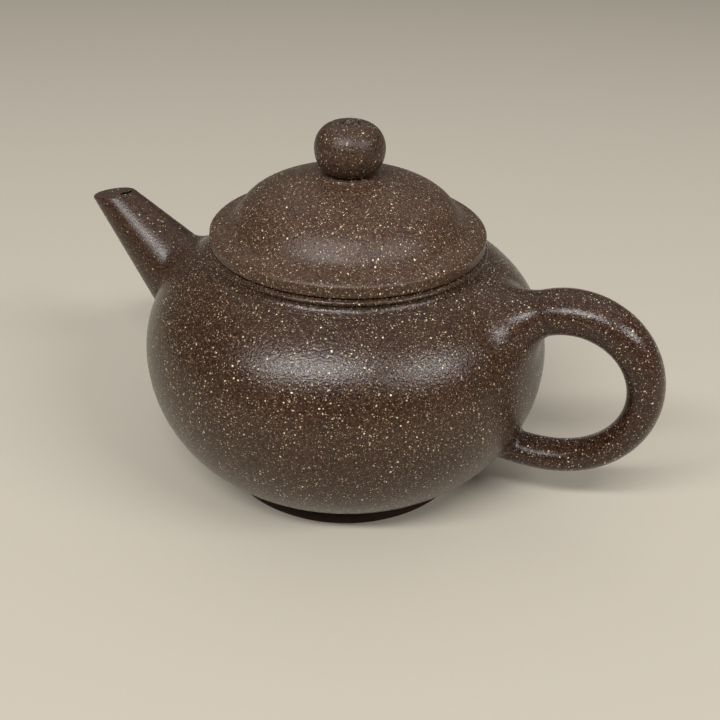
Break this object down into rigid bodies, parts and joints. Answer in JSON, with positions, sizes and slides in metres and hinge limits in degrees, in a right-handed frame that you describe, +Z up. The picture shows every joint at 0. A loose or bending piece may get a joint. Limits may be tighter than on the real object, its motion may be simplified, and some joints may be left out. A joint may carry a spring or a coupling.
{
  "type": "yixing clay teapot",
  "caption": "Small round unglazed clay teapot with a straight tapered spout, a ring handle and a press-down domed lid with a ball knob.",
  "frame": {"origin": "centre of the foot ring's resting face", "axes": "+Z up through the lid's knob, +X towards the handle, -X towards the spout"},
  "size_m": [0.1399, 0.09, 0.0808],
  "materials": {
    "pot_clay": "unglazed stoneware, satin, sand-speckled",
    "lid_clay": "unglazed stoneware, satin, sand-speckled",
    "foot_clay": "unglazed stoneware, matt, rubbed smooth where it rests"
  },
  "bodies": {
    "pot": {"body_wall": "pot_clay", "shoulder_disc": "pot_clay", "base_disc": "pot_clay", "foot_ring": "foot_clay", "neck_ring": "pot_clay", "spout": "pot_clay", "strainer": "pot_clay", "handle": "pot_clay"},
    "lid": {"lid_rim": "lid_clay", "lid_dome": "lid_clay", "lid_flange": "lid_clay", "knob": "lid_clay"}
  },
  "joints": [
    {"name": "lid_lift", "type": "slide", "parent": "pot", "child": "lid", "axis": [0, 0, 1], "range_m": [0, 0.045]}
  ]
}
